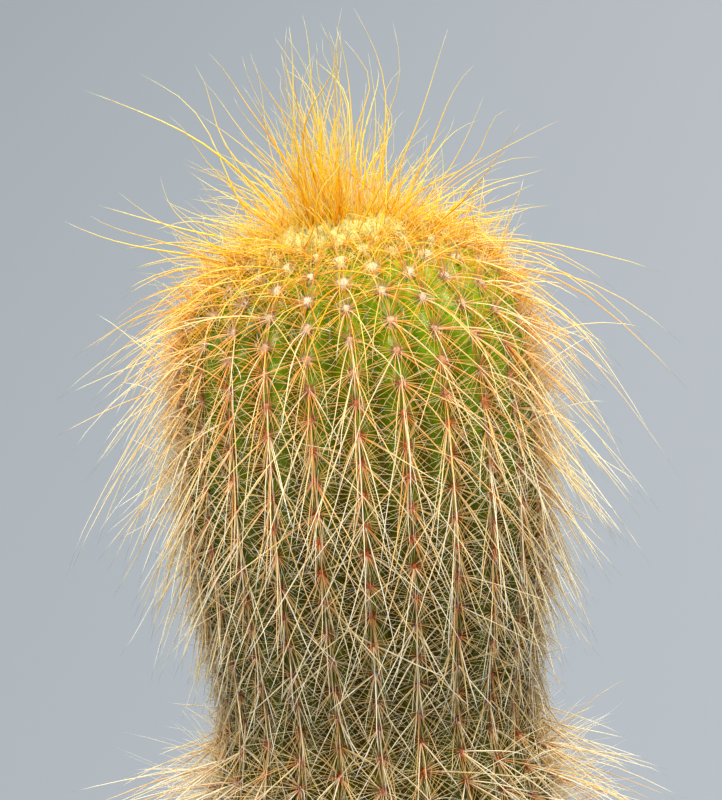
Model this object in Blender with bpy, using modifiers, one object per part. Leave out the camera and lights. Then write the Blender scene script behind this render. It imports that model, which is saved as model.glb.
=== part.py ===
"""Golden ball cactus in a plain terracotta pot, at life size.

The plant is a short ribbed column that leans a little. It has a waist where one year's growth
ended, and an oblique crown of golden wool and long spines. Each rib bears a row of areoles, and
each areole a long drooping spine; some bear a short one beside it that lies over the valley.

Metres, +Z up. The pot stands on z = 0 with its axis on the Z axis, and the plant leans to -X.
"""

import math
import random

import bmesh
import bpy
import numpy as np
from mathutils import Vector

MM = 0.001
SEED = 7
TOUCH = 0.3 * MM  # the gap that pieces which touch keep between them
SHARP_ANGLE = math.radians(35)  # steeper edges are shaded sharp
QUARTERS = 4

# Pot: a tapered body under a thicker collar, with one drain hole
POT_HEIGHT = 110 * MM
RIM_RADIUS = 64 * MM
COLLAR_FOOT_RADIUS = 62 * MM
COLLAR_HEIGHT = 24 * MM
COLLAR_STEP = 1.5 * MM  # height of the slope under the collar
NECK_RADIUS = 58.5 * MM
FOOT_RADIUS = 43 * MM
MOUTH_RADIUS = 57.5 * MM
INNER_FOOT_RADIUS = 37.5 * MM
FLOOR = 7 * MM
DRAIN_RADIUS = 7 * MM
RIM_FILLET = 2 * MM
COLLAR_FILLET = 1.2 * MM
FOOT_FILLET = 1.5 * MM
POT_SIDES = 40

# Soil: fills the pot to just under the rim
SOIL_TOP = POT_HEIGHT - 9 * MM
SOIL_BUMP = 0.7 * MM
SOIL_RINGS = (0.35, 0.7, 1)  # shares of the way from the plant to the pot's wall
SOIL_SIDES = 40

# Stem: the profile is a flattened dome on a waisted flank, both over the ribs' crests
STEM_HEIGHT = 165 * MM
DOME_RADIUS = 42 * MM
DOME_DEPTH = 34 * MM
DOME_POWER = 2.2
FLANK = (  # depth below the apex, radius
    (34 * MM, 42 * MM),
    (55 * MM, 43 * MM),
    (80 * MM, 42 * MM),
    (102 * MM, 39.2 * MM),
    (120 * MM, 37.2 * MM),
    (129 * MM, 39 * MM),
    (143 * MM, 41.5 * MM),
    (155 * MM, 39.5 * MM),
    (165 * MM, 34 * MM),
)
BURIED_FLANK = (
    (172 * MM, 29.5 * MM),
    (177 * MM, 21 * MM),
)
ROOT_DEPTH = 179 * MM
RIBS = 24
RIB_DEPTH = 3.4 * MM
RIBS_START = 8 * MM  # arc length from the apex
RIBS_FULL = 40 * MM
RIBS_FADE = 9 * MM  # arc length over which they run out above the soil
LEAN = math.radians(3.9)
LEAN_HEIGHT = 45 * MM  # height above the soil where the lean is complete
CROWN_TILT = math.radians(5)
CROWN_TILT_FROM = 118 * MM
PROFILE_SAMPLES = 600

# Areoles: rows of spine cushions down each rib, half a step lower on every other rib
FIRST_AREOLE = 18.5 * MM  # arc length from the apex
AREOLE_STEP = 7.4 * MM
AREOLE_RISE = 0.5 * MM
AREOLES_END = 4 * MM  # arc length that is bare above the soil
VALLEY_SHIFT = 0.25  # of a step, which keeps the valley's points level with both neighbours'
OLD_ARC = 90 * MM  # arc length from which areoles count as old
FRESH_ARCS = (146 * MM, 156 * MM)  # below the waist they carry longer spines again
FRESH_SHARE = 0.7

# Crown: a cap of wool on the apex, bearing the longest spines
CAP_ARC = 15.5 * MM
CAP_THICKNESS = 2.4 * MM
CAP_TOP = ((0, 1), (0.35, 1), (0.7, 0.8), (0.95, 0.4), (1, 0.1))  # share of arc, of thickness
CAP_UNDERSIDE = ((0.95, 0), (0.5, 0), (0, 0))
CAP_SIDES = 24
CAP_SINK = 0.6  # share of the cap's thickness that a spine is sunk into
TUFT_SPINES = 176
TUFT_ARC = 0.93 * CAP_ARC
TUFT_LENGTHS = (26 * MM, 66 * MM, 36 * MM)  # least, most and commonest
TUFT_SHORTER = 8 * MM  # by this much at the cap's rim
TUFT_SPREAD = (0.1, 0.65)  # outward slope at the middle and at the rim
TUFT_SCATTER = (0.1, 0.16)  # outward and sideways
TUFT_DROOP = (0.0, 0.16)
GOLDEN_ANGLE = math.radians(137.508)

# Long spines of the stem. Slopes are against the surface's normal
CENTRAL_LENGTHS = (30 * MM, 44 * MM)
CENTRAL_SHORTER = 0.22  # share lost on old areoles
CENTRAL_FALL = (0.15, 0.6)
CENTRAL_OLD_FALL = 0.45  # further slope down the rib on old areoles
CENTRAL_SCATTER = 0.3
CENTRAL_DROOP = (0.12, 0.36)

# Short spines of the stem, on one areole in RADIAL_EVERY
RADIAL_LENGTHS = (7 * MM, 12 * MM)
RADIAL_LIFT = (0.75, 1.3)
RADIAL_FALL = (-0.6, 0.7)
RADIAL_EVERY = 6

# The furthest spines set the plant's width, one in each quarter
REACH = 82 * MM
REACH_ROW = 3  # row of areoles that bears them
REACH_DROOP = 0.22
OTHER_REACH = 80 * MM

# Every spine is a three-sided needle, sunk well into what it grows from
SPINE_ROOT_RADIUS = 0.36 * MM
SPINE_BEND_RADIUS = 0.26 * MM
SPINE_SINK = 1.6 * MM
SPINE_GAP = 1.15 * MM  # least distance between two spines' centrelines
SPINE_TRIES = 40
ROOT_OFFSETS = ((0.9 * MM, 1.1 * MM), (1.1 * MM, 0.3 * MM))  # across and down, by sort of rib
SOIL_CLEARANCE = 1.5 * MM
RIM_CLEARANCE = 2 * MM
RIM_MARGIN = 6 * MM  # how far inside the mouth the rim's clearance starts
STEM_CLEARANCE = 1.2 * MM


def clear_scene():
    for obj in list(bpy.data.objects):
        bpy.data.objects.remove(obj)


def smoothstep(value, low, high):
    t = np.clip((value - low) / (high - low), 0.0, 1.0)
    return t * t * (3 - 2 * t)


def flank_radius(depth):
    """A smooth curve through the flank's points, by cubic pieces with shared slopes."""
    depths, radii = (np.array(column) for column in zip(*FLANK, *BURIED_FLANK))
    slopes = np.gradient(radii, depths)
    i = np.clip(np.searchsorted(depths, depth) - 1, 0, len(depths) - 2)
    span = depths[i + 1] - depths[i]
    t = (depth - depths[i]) / span
    return (
        (2 * t**3 - 3 * t**2 + 1) * radii[i]
        + (t**3 - 2 * t**2 + t) * span * slopes[i]
        + (3 * t**2 - 2 * t**3) * radii[i + 1]
        + (t**3 - t**2) * span * slopes[i + 1]
    )


def stem_profile():
    """Arc length from the apex at even steps, with the radius and the depth there."""
    turn = np.linspace(0, math.pi / 2, PROFILE_SAMPLES)
    dome_radius = DOME_RADIUS * np.sin(turn) ** (2 / DOME_POWER)
    dome_depth = DOME_DEPTH * (1 - np.cos(turn) ** (2 / DOME_POWER))
    flank_depth = np.linspace(FLANK[0][0], BURIED_FLANK[-1][0], PROFILE_SAMPLES)[1:]
    radius = np.concatenate([dome_radius, flank_radius(flank_depth), [0.0]])
    depth = np.concatenate([dome_depth, flank_depth, [ROOT_DEPTH]])
    length = np.concatenate([[0], np.cumsum(np.hypot(np.diff(radius), np.diff(depth)))])
    arc = np.linspace(0, length[-1], 2 * PROFILE_SAMPLES)
    return arc, np.interp(arc, length, radius), np.interp(arc, length, depth)


def axis_line():
    """The centreline, on past the apex: height along it, its x and z, and its lean."""
    top = STEM_HEIGHT + 2 * CAP_THICKNESS
    along = np.linspace(STEM_HEIGHT - ROOT_DEPTH, top, PROFILE_SAMPLES)
    lean = LEAN * smoothstep(along, 0, LEAN_HEIGHT)
    lean += CROWN_TILT * smoothstep(along, CROWN_TILT_FROM, STEM_HEIGHT)
    step = np.gradient(along)
    x = -np.cumsum(np.sin(lean) * step)
    z = np.cumsum(np.cos(lean) * step)
    return along, x - np.interp(0, along, x), z - np.interp(0, along, z) + SOIL_TOP, lean


ARC, ARC_RADIUS, ARC_DEPTH = stem_profile()
ALONG, AXIS_X, AXIS_Z, AXIS_LEAN = axis_line()
SOIL_ARC = float(np.interp(STEM_HEIGHT, ARC_DEPTH, ARC))
AREOLE_ROWS = int((SOIL_ARC - AREOLES_END - FIRST_AREOLE) / AREOLE_STEP)


def on_axis(radius, angle, depth):
    """World point at a radius and an angle about the stem's leaning centreline."""
    along = STEM_HEIGHT - depth
    x, z = np.interp(along, ALONG, AXIS_X), np.interp(along, ALONG, AXIS_Z)
    lean = float(np.interp(along, ALONG, AXIS_LEAN))
    across = radius * math.cos(angle)
    return Vector(
        (x + across * math.cos(lean), radius * math.sin(angle), z + across * math.sin(lean))
    )


def stem_point(arc, angle, raised=0.0):
    """A point of the surface over the crests, moved out along its normal by raised."""
    low, high = max(arc - MM, 0.0), min(arc + MM, ARC[-1])
    run = np.interp(high, ARC, ARC_RADIUS) - np.interp(low, ARC, ARC_RADIUS)
    drop = np.interp(high, ARC, ARC_DEPTH) - np.interp(low, ARC, ARC_DEPTH)
    size = math.hypot(run, drop)
    on_the_axis = arc in (0, ARC[-1])
    radius = 0.0 if on_the_axis else np.interp(arc, ARC, ARC_RADIUS) + raised * drop / size
    return on_axis(radius, angle, np.interp(arc, ARC, ARC_DEPTH) - raised * run / size)


def surface_frame(arc, angle):
    """Outward normal, the way down the rib, and the way across it."""
    down = (stem_point(arc + MM, angle) - stem_point(arc - MM, angle)).normalized()
    normal = stem_point(arc, angle, MM) - stem_point(arc, angle)
    normal = (normal - normal.project(down)).normalized()
    return normal, down, normal.cross(down)


def rib_depth(arc):
    grown = smoothstep(arc, RIBS_START, RIBS_FULL)
    return RIB_DEPTH * grown * (1 - smoothstep(arc, SOIL_ARC - RIBS_FADE, SOIL_ARC))


def areole_arc(rib, row):
    return FIRST_AREOLE + AREOLE_STEP * (row + 0.5 * (rib % 2))


def areole_age(arc):
    """0 at the crown, 1 on old areoles, and less again below the waist."""
    return smoothstep(arc, FIRST_AREOLE, OLD_ARC) * (1 - FRESH_SHARE * smoothstep(arc, *FRESH_ARCS))


def cap_thickness(arc):
    shares, thicknesses = zip(*CAP_TOP)
    return CAP_THICKNESS * float(np.interp(arc / CAP_ARC, shares, thicknesses))


def material(name, colour, roughness):
    made = bpy.data.materials.new(name)
    made.use_nodes = True
    shader = made.node_tree.nodes["Principled BSDF"]
    shader.inputs["Base Color"].default_value = (*colour, 1.0)
    shader.inputs["Roughness"].default_value = roughness
    shader.inputs["Metallic"].default_value = 0.0
    made.diffuse_color = (*colour, 1.0)
    return made


def place(name, mesh, collection, finish):
    mesh.materials.append(finish)
    obj = bpy.data.objects.new(name, mesh)
    collection.objects.link(obj)
    return obj


def bake(obj):
    """Replace the object's mesh by the one that its modifiers make."""
    bpy.context.view_layer.update()
    evaluated = obj.evaluated_get(bpy.context.evaluated_depsgraph_get())
    made = bpy.data.meshes.new_from_object(evaluated)
    obj.modifiers.clear()
    obj.data = made
    made.shade_smooth()
    made.set_sharp_from_angle(angle=SHARP_ANGLE)


def rounded(outline):
    """Points of an outline of (radius, z, fillet), each fillet an arc of three points."""
    points = []
    for i, (radius, z, fillet) in enumerate(outline):
        corner = Vector((radius, z))
        if not fillet:
            points.append(corner)
            continue
        before = Vector(outline[i - 1][:2])
        after = Vector(outline[(i + 1) % len(outline)][:2])
        start = corner + (before - corner).normalized() * fillet
        end = corner + (after - corner).normalized() * fillet
        points += [start, start.lerp(corner, 0.5).lerp(corner.lerp(end, 0.5), 0.5), end]
    return points


def turned(name, points, sides, collection, finish, closed=False):
    """A solid of revolution: a profile in the XZ plane, spun by a Screw modifier."""
    mesh = bpy.data.meshes.new(name)
    edges = [(i, i + 1) for i in range(len(points) - 1)]
    if closed:
        edges.append((len(points) - 1, 0))
    mesh.from_pydata([(point.x, 0, point.y) for point in points], edges, [])
    obj = place(name, mesh, collection, finish)
    screw = obj.modifiers.new("Turn", "SCREW")
    screw.steps = sides
    screw.render_steps = sides
    screw.use_merge_vertices = True
    screw.merge_threshold = 0.01 * MM
    bake(obj)
    return obj


def build_pot(collection):
    clay = material("terracotta", (0.62, 0.27, 0.15), 0.85)
    collar_foot = POT_HEIGHT - COLLAR_HEIGHT
    outline = (
        (RIM_RADIUS, POT_HEIGHT, RIM_FILLET),
        (COLLAR_FOOT_RADIUS, collar_foot, COLLAR_FILLET),
        (NECK_RADIUS, collar_foot - COLLAR_STEP, 0),
        (FOOT_RADIUS, 0, FOOT_FILLET),
        (DRAIN_RADIUS, 0, 0),
        (DRAIN_RADIUS, FLOOR, 0),
        (INNER_FOOT_RADIUS, FLOOR, 0),
        (MOUTH_RADIUS, POT_HEIGHT, RIM_FILLET),
    )
    turned("pot", rounded(outline), POT_SIDES, collection, clay, closed=True)


def pot_inner_radius(z):
    share = (z - FLOOR) / (POT_HEIGHT - FLOOR)
    return INNER_FOOT_RADIUS + (MOUTH_RADIUS - INNER_FOOT_RADIUS) * share


def build_soil(collection):
    """Potting mix with a plain hole that holds the buried end of the stem."""
    grit = material("soil", (0.16, 0.11, 0.08), 0.95)
    points = [Vector((0, SOIL_TOP + STEM_HEIGHT - ROOT_DEPTH - TOUCH))]
    for depth, radius in (*reversed(BURIED_FLANK), FLANK[-1]):
        points.append(Vector((radius + TOUCH, SOIL_TOP + STEM_HEIGHT - depth)))
    hole = points[-1].x
    wall = pot_inner_radius(SOIL_TOP) - 2 * TOUCH
    points += [Vector((hole + (wall - hole) * share, SOIL_TOP)) for share in SOIL_RINGS]
    points += [Vector((INNER_FOOT_RADIUS - TOUCH, FLOOR + TOUCH)), Vector((0, FLOOR + TOUCH))]
    soil = turned("soil", points, SOIL_SIDES, collection, grit)
    draw = random.Random(SEED)
    for vertex in soil.data.vertices:
        inside = hole + MM < math.hypot(vertex.co.x, vertex.co.y) < wall - MM
        if inside and abs(vertex.co.z - SOIL_TOP) < TOUCH:
            vertex.co.z += SOIL_BUMP * draw.uniform(-1, 1)


def rolled_grid(rows, columns, place_vertex):
    """A grid rolled into a closed surface: place_vertex(row, column) gives each point."""
    bm = bmesh.new()
    bmesh.ops.create_grid(bm, x_segments=columns, y_segments=rows - 1, size=0.5)
    for vertex in bm.verts:
        column = round((vertex.co.x + 0.5) * columns)
        row = round((0.5 - vertex.co.y) * (rows - 1))
        vertex.co = place_vertex(row, column % columns)
    bmesh.ops.remove_doubles(bm, verts=bm.verts, dist=0.001 * MM)
    bmesh.ops.triangulate(bm, faces=bm.faces)
    bmesh.ops.recalc_face_normals(bm, faces=bm.faces)
    mesh = bpy.data.meshes.new("grid")
    bm.to_mesh(mesh)
    bm.free()
    return mesh


def stem_body():
    """The ribbed body: crests and valleys take turns, with a crest's point at each areole."""
    lead = (0.0, CAP_ARC / 3, CAP_ARC * 2 / 3, CAP_ARC + MM)
    buried = [float(np.interp(depth, ARC_DEPTH, ARC)) for depth, _ in BURIED_FLANK]
    tail = (SOIL_ARC, *buried, ARC[-1])

    def at(row, column):
        rib, valley = divmod(column, 2)
        angle = math.tau * column / (2 * RIBS)
        if row < len(lead):
            return stem_point(lead[row], angle, -rib_depth(lead[row]) if valley else 0)
        row -= len(lead)
        if row >= AREOLE_ROWS:
            return stem_point(tail[row - AREOLE_ROWS], angle)
        if valley:
            arc = FIRST_AREOLE + AREOLE_STEP * (row + VALLEY_SHIFT)
            return stem_point(arc, angle, -rib_depth(arc))
        return stem_point(areole_arc(rib, row), angle, AREOLE_RISE)

    return rolled_grid(len(lead) + AREOLE_ROWS + len(tail), 2 * RIBS, at)


def cap_body():
    """The wool cap: it follows the apex at TOUCH and thins to its rim."""
    section = CAP_TOP + CAP_UNDERSIDE

    def at(row, column):
        share, thickness = section[row]
        angle = math.tau * column / CAP_SIDES
        return stem_point(CAP_ARC * share, angle, TOUCH + CAP_THICKNESS * thickness)

    return rolled_grid(len(section), CAP_SIDES, at)


def segment_gaps(start, end, starts, ends):
    """Least distance from the segment start-end to each of the segments starts-ends."""
    along, others, between = end - start, ends - starts, start - starts
    a = float(along @ along)
    e = np.einsum("ij,ij->i", others, others)
    b, c, f = others @ along, between @ along, np.einsum("ij,ij->i", others, between)
    parallel = 1e-18
    s = np.clip((b * f - c * e) / np.maximum(a * e - b * b, parallel), 0, 1)
    t = np.clip((b * s + f) / e, 0, 1)
    s = np.clip((b * t - c) / a, 0, 1)
    return np.linalg.norm(between + s[:, None] * along - t[:, None] * others, axis=1)


class Spines:
    """Every spine placed so far, so that a new one is drawn clear of the others."""

    def __init__(self):
        self.draw = random.Random(SEED)
        self.starts, self.ends = np.empty((0, 3)), np.empty((0, 3))

    def is_clear(self, path):
        points = np.array(path)
        return not len(self.starts) or all(
            segment_gaps(start, end, self.starts, self.ends).min() > SPINE_GAP
            for start, end in zip(points, points[1:])
        )

    def add(self, path):
        points = np.array(path)
        self.starts = np.vstack([self.starts, points[:-1]])
        self.ends = np.vstack([self.ends, points[1:]])
        return path

    def grow(self, candidate):
        """The first path drawn that is clear of everything, or None."""
        for _ in range(SPINE_TRIES):
            path = candidate(self.draw)
            if clears_body(path) and self.is_clear(path):
                return self.add(path)
        return None


def clears_body(path):
    """True if the path stays off the soil, the pot's rim and the stem, and within reach."""
    for point in path[1:]:
        radius = math.hypot(point.x, point.y)
        floor = SOIL_TOP + SOIL_CLEARANCE
        if radius > MOUTH_RADIUS - RIM_MARGIN:
            floor = POT_HEIGHT + RIM_CLEARANCE
        if radius > OTHER_REACH or point.z < floor:
            return False
        depth = STEM_HEIGHT - float(np.interp(point.z, AXIS_Z, ALONG))
        centre = float(np.interp(point.z, AXIS_Z, AXIS_X))
        body = float(np.interp(depth, ARC_DEPTH, ARC_RADIUS))
        if depth > 0 and math.hypot(point.x - centre, point.y) < body + STEM_CLEARANCE:
            return False
    return True


def spine_path(root, direction, length, droop, bends, sink=SPINE_SINK):
    """From a buried end out along direction, pulled down by droop towards the tip."""
    direction = direction.normalized()
    path = [root - direction * sink]
    for i in range(1, bends + 2):
        share = i / (bends + 1)
        path.append(root + direction * (length * share) - Vector((0, 0, droop * length * share**2)))
    return path


def tuft_candidate(i):
    """A long spine of the crown, the i-th on a spiral of even spacing."""
    share = math.sqrt((i + 0.5) / TUFT_SPINES)
    arc, angle = TUFT_ARC * share, i * GOLDEN_ANGLE
    thickness = cap_thickness(arc)
    root = stem_point(arc, angle, TOUCH + thickness)
    normal, outward, side = surface_frame(max(arc, 2 * MM), angle)

    def candidate(draw):
        spread = TUFT_SPREAD[0] + (TUFT_SPREAD[1] - TUFT_SPREAD[0]) * share
        direction = normal + outward * (spread + draw.gauss(0, TUFT_SCATTER[0]))
        direction += side * draw.gauss(0, TUFT_SCATTER[1])
        length = draw.triangular(*TUFT_LENGTHS) - TUFT_SHORTER * share
        droop = draw.uniform(*TUFT_DROOP)
        return spine_path(root, direction, length, droop, 2, CAP_SINK * thickness)

    return candidate


def spine_root(rib, row, way):
    """A root beside the crest's point, well inside one face, and the directions there."""
    arc, angle = areole_arc(rib, row), math.tau * rib / RIBS
    normal, down, side = surface_frame(arc, angle)
    across, below = ROOT_OFFSETS[rib % 2]
    root = stem_point(arc, angle, AREOLE_RISE) + side * way * across + down * below
    return root - normal * across / 2, normal, down, side


def central_candidate(rib, row, way):
    """A long spine that leaves its areole outwards and droops down the rib."""
    root, normal, down, side = spine_root(rib, row, way)
    age = areole_age(areole_arc(rib, row))

    def candidate(draw):
        direction = normal + down * (draw.uniform(*CENTRAL_FALL) + CENTRAL_OLD_FALL * age)
        direction += side * draw.gauss(0, CENTRAL_SCATTER)
        length = draw.uniform(*CENTRAL_LENGTHS) * (1 - CENTRAL_SHORTER * age)
        return spine_path(root, direction, length, draw.uniform(*CENTRAL_DROOP), 1)

    return candidate


def radial_candidate(rib, row, way):
    """A short straight spine that lies over the valley on one side of the rib."""
    root, normal, down, side = spine_root(rib, row, way)

    def candidate(draw):
        direction = side * way + normal * draw.uniform(*RADIAL_LIFT)
        direction += down * draw.uniform(*RADIAL_FALL)
        return spine_path(root, direction, draw.uniform(*RADIAL_LENGTHS), 0, 0)

    return candidate


def furthest_spine(rib):
    """The spine of one quarter that goes out to REACH."""
    root = spine_root(rib, REACH_ROW, 1)[0]
    angle = math.tau * rib / RIBS
    outward = Vector((math.cos(angle), math.sin(angle), 0))
    return spine_path(root, outward, REACH - root.dot(outward), REACH_DROOP, 1)


def spine_mesh(path):
    """A three-sided needle along the path: a cone cut into as many lengths as it has."""
    lengths = len(path) - 1
    bm = bmesh.new()
    bmesh.ops.create_cone(
        bm, segments=3, radius1=SPINE_ROOT_RADIUS, radius2=0, depth=1, cap_ends=True
    )
    bmesh.ops.translate(bm, verts=bm.verts, vec=(0, 0, 0.5))
    for i in range(1, lengths):
        everything = [*bm.verts, *bm.edges, *bm.faces]
        cut = (0, 0, i / lengths)
        bmesh.ops.bisect_plane(bm, geom=everything, plane_co=cut, plane_no=(0, 0, 1))
    bmesh.ops.remove_doubles(bm, verts=bm.verts, dist=0.001 * MM)
    turn = (path[-1] - path[0]).to_track_quat("Z", "X")
    for vertex in bm.verts:
        i = round(vertex.co.z * lengths)
        across = Vector((vertex.co.x, vertex.co.y, 0))
        if 0 < i < lengths:
            across = across.normalized() * SPINE_BEND_RADIUS * (lengths - i) / (lengths - 1)
        vertex.co = path[i] + turn @ across
    mesh = bpy.data.meshes.new("spine")
    bm.to_mesh(mesh)
    bm.free()
    return mesh


def fused(name, mesh, paths, collection, finish):
    """The body joined with its spines in one Boolean union on a collection."""
    obj = place(name, mesh, collection, finish)
    needles = bpy.data.collections.new(name + "_spines")
    for path in paths:
        place("spine", spine_mesh(path), needles, finish)
    union = obj.modifiers.new("Spines", "BOOLEAN")
    union.operation = "UNION"
    union.operand_type = "COLLECTION"
    union.collection = needles
    bake(obj)
    for needle in list(needles.objects):
        bpy.data.objects.remove(needle)
    bpy.data.collections.remove(needles)


def build_plant(collection):
    """The stem and the crown, with the spines of both drawn clear of each other."""
    green = material("stem", (0.24, 0.38, 0.08), 0.5)
    gold = material("crown", (0.95, 0.6, 0.08), 0.45)
    spines = Spines()
    furthest = range(0, RIBS, RIBS // QUARTERS)
    grown = [spines.add(furthest_spine(rib)) for rib in furthest]
    tuft = [spines.grow(tuft_candidate(i)) for i in range(TUFT_SPINES)]
    areoles = [(rib, row) for row in range(AREOLE_ROWS) for rib in range(RIBS)]
    for rib, row in areoles:
        if row != REACH_ROW or rib not in furthest:
            way = -1 if (rib // 2 + row) % 2 else 1
            grown.append(spines.grow(central_candidate(rib, row, way)))
    for rib, row in areoles:
        if (rib + row) % RADIAL_EVERY == 0:
            way = 1 if (rib // 2 + row) % 2 else -1
            grown.append(spines.grow(radial_candidate(rib, row, way)))
    fused("stem", stem_body(), filter(None, grown), collection, green)
    fused("crown", cap_body(), filter(None, tuft), collection, gold)


def main():
    clear_scene()
    collection = bpy.data.collections.new("golden_ball_cactus")
    bpy.context.scene.collection.children.link(collection)
    build_pot(collection)
    build_soil(collection)
    build_plant(collection)


main()
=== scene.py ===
# %% [markdown]
# # A golden ball cactus in a terracotta pot
#
# This lesson dresses the solid model of a potted cactus. The solids fix the sizes: pot, soil,
# ribbed stem and crown. All that makes the plant look alive is made here, and most of that is
# spines: over twenty thousand, in the few kinds that the real plant grows.

# %% Load the solid model
import math
import random

import bmesh
import bpy
import numpy as np
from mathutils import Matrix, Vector


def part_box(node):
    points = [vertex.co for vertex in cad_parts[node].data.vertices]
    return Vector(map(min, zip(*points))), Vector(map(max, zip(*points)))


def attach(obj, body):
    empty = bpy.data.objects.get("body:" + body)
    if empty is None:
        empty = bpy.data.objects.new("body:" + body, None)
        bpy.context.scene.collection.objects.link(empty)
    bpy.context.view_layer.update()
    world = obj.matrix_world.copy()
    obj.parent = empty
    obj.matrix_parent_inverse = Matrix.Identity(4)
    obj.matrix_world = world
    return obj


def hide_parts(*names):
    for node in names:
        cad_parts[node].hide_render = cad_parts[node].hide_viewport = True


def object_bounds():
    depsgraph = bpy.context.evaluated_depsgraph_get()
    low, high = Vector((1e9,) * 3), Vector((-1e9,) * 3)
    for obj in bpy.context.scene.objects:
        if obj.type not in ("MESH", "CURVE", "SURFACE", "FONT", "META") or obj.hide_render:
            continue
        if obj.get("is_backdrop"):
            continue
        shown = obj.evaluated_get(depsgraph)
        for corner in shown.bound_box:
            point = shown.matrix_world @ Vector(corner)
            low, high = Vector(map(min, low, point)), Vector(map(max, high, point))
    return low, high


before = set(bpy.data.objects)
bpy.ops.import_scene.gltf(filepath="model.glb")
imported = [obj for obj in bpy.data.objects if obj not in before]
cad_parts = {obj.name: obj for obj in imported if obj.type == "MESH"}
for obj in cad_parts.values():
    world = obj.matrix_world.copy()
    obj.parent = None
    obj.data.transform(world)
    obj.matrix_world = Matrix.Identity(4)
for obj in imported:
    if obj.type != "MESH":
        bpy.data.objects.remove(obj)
cad_low, cad_high = (Vector(corner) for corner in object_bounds())
MM = 0.001
print("solid model, mm:", [round(size / MM, 1) for size in cad_high - cad_low])

# %% [markdown]
# ## The plant's measures
#
# The looks have to lie on the solids, so the stem's profile and its leaning centreline are worked
# out from the same driving sizes. A place on the plant is given by its arc length down from the
# growing point and by its angle round the stem, as on a globe.

# %% Driving sizes of the stem
SOIL_BELOW_RIM = 9 * MM
pot_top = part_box("pot")[1][2]
soil_top = pot_top - SOIL_BELOW_RIM
STEM_HEIGHT = 165 * MM
ROOT_DEPTH = 179 * MM
DOME_RADIUS = 42 * MM
DOME_DEPTH = 34 * MM
DOME_POWER = 2.2
FLANK = MM * np.array(  # depth below the growing point, and radius
    [(34, 42), (55, 43), (80, 42), (102, 39.2), (120, 37.2)]
    + [(129, 39), (143, 41.5), (155, 39.5), (165, 34)]
)
BURIED_FLANK = MM * np.array([(172, 29.5), (177, 21)])
LEAN = math.radians(3.9)
LEAN_HEIGHT = 45 * MM
CROWN_TILT = math.radians(5)
CROWN_TILT_FROM = 118 * MM
CAP_ARC = 15.5 * MM
CAP_THICKNESS = 2.4 * MM
SAMPLES = 600


def smoothstep(value, low, high):
    t = np.clip((value - low) / (high - low), 0.0, 1.0)
    return t * t * (3 - 2 * t)


def flank_radius(depth):
    """A smooth curve through the flank's points, by cubic pieces with shared slopes."""
    depths, radii = np.concatenate([FLANK, BURIED_FLANK]).T
    slopes = np.gradient(radii, depths)
    i = np.clip(np.searchsorted(depths, depth) - 1, 0, len(depths) - 2)
    span = depths[i + 1] - depths[i]
    t = (depth - depths[i]) / span
    return (
        (2 * t**3 - 3 * t**2 + 1) * radii[i]
        + (t**3 - 2 * t**2 + t) * span * slopes[i]
        + (3 * t**2 - 2 * t**3) * radii[i + 1]
        + (t**3 - t**2) * span * slopes[i + 1]
    )


# %% Profile and centreline
def stem_profile():
    """Arc length from the growing point at even steps, with the radius and the depth there."""
    turn = np.linspace(0, math.pi / 2, SAMPLES)
    dome_radius = DOME_RADIUS * np.sin(turn) ** (2 / DOME_POWER)
    dome_depth = DOME_DEPTH * (1 - np.cos(turn) ** (2 / DOME_POWER))
    flank_depth = np.linspace(FLANK[0][0], BURIED_FLANK[-1][0], SAMPLES)[1:]
    radius = np.concatenate([dome_radius, flank_radius(flank_depth)])
    depth = np.concatenate([dome_depth, flank_depth])
    length = np.concatenate([[0], np.cumsum(np.hypot(np.diff(radius), np.diff(depth)))])
    arc = np.linspace(0, length[-1], 2 * SAMPLES)
    return arc, np.interp(arc, length, radius), np.interp(arc, length, depth)


def axis_line():
    """The centreline, on past the apex: height along it, its x and z, and its lean."""
    top = STEM_HEIGHT + 2 * CAP_THICKNESS
    along = np.linspace(STEM_HEIGHT - ROOT_DEPTH, top, SAMPLES)
    lean = LEAN * smoothstep(along, 0, LEAN_HEIGHT)
    lean += CROWN_TILT * smoothstep(along, CROWN_TILT_FROM, STEM_HEIGHT)
    step = np.gradient(along)
    x = -np.cumsum(np.sin(lean) * step)
    z = np.cumsum(np.cos(lean) * step)
    return along, x - np.interp(0, along, x), z - np.interp(0, along, z) + soil_top, lean


ARC, ARC_RADIUS, ARC_DEPTH = stem_profile()
ALONG, AXIS_X, AXIS_Z, AXIS_LEAN = axis_line()
SOIL_ARC = float(np.interp(STEM_HEIGHT, ARC_DEPTH, ARC))
print("stem surface from crown to soil, mm:", round(SOIL_ARC / MM, 1))


# %% Places and directions on the stem
def unit(vectors):
    return vectors / np.linalg.norm(vectors, axis=-1, keepdims=True)


def surface(arc, angle, raised=0.0):
    """Points over the ribs' crests, moved out along the surface's normal by raised."""
    arc, angle = np.broadcast_arrays(np.asarray(arc, float), angle)
    low, high = np.maximum(arc - MM, 0), np.minimum(arc + MM, ARC[-1])
    run = np.interp(high, ARC, ARC_RADIUS) - np.interp(low, ARC, ARC_RADIUS)
    drop = np.interp(high, ARC, ARC_DEPTH) - np.interp(low, ARC, ARC_DEPTH)
    size = np.hypot(run, drop)
    radius = np.interp(arc, ARC, ARC_RADIUS) + np.where(arc > 0, raised * drop / size, 0)
    along = STEM_HEIGHT - np.interp(arc, ARC, ARC_DEPTH) + raised * run / size
    x, z, lean = (np.interp(along, ALONG, line) for line in (AXIS_X, AXIS_Z, AXIS_LEAN))
    across = radius * np.cos(angle)
    return np.stack(
        [x + across * np.cos(lean), radius * np.sin(angle), z + across * np.sin(lean)], -1
    )


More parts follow.
